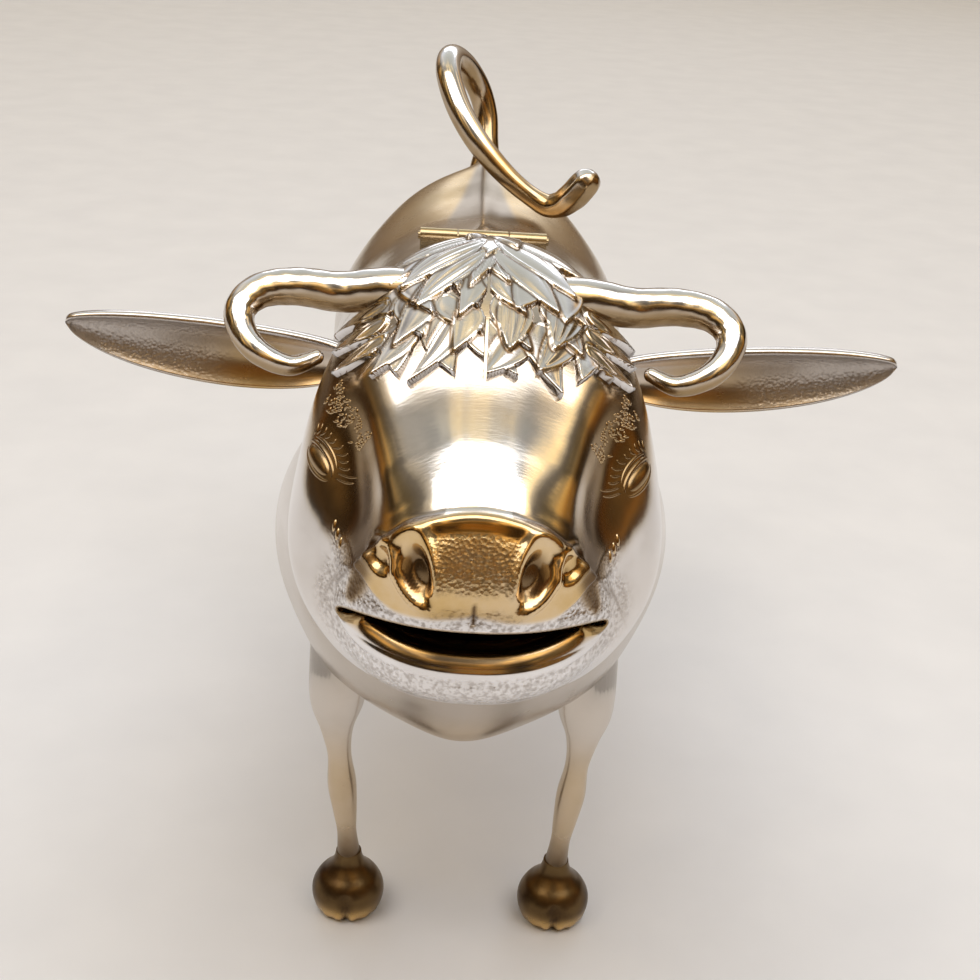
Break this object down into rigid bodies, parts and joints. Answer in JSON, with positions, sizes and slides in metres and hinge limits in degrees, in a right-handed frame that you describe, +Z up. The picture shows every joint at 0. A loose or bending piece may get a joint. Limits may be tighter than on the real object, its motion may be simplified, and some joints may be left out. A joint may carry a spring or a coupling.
{
  "type": "cow creamer",
  "caption": "Silver cream jug shaped as a standing horned cow, with a hinged filling lid on its back, an open mouth as spout and a looped tail as handle.",
  "frame": {"origin": "on the ground under the middle of the bounding box, in the cow's plane of symmetry", "axes": "+Z up, -Y towards the cow's nose, +X towards the cow's left"},
  "size_m": [0.076, 0.1399, 0.092],
  "materials": {
    "silver": "polished, with warm tarnish in the hollows",
    "dark_silver": "polished over dark tarnish",
    "gilt": "soft gilt"
  },
  "bodies": {
    "root": {"body_left": "silver", "body_right": "silver", "head_left": "silver", "head_right": "silver", "horn_left": "silver", "horn_right": "silver", "ear_left": "silver", "ear_right": "silver", "foreleg_left": "silver", "foreleg_right": "silver", "hindleg_left": "silver", "hindleg_right": "silver", "forehoof_left": "dark_silver", "forehoof_right": "dark_silver", "hindhoof_left": "dark_silver", "hindhoof_right": "dark_silver", "tail_handle": "silver", "udder": "silver", "teats": "silver", "filler_collar": "gilt", "hinge_body_leaf": "silver", "hinge_pin": "silver"},
    "lid": {"lid": "silver", "lid_rim": "gilt", "hinge_lid_leaf": "silver", "fly_body": "silver", "fly_wings": "silver"}
  },
  "joints": [
    {"name": "lid_hinge", "type": "hinge", "parent": "root", "child": "lid", "pos_m": [0, 0.0265, 0.0715], "axis": [-1, 0, 0], "range_deg": [0, 100]}
  ]
}
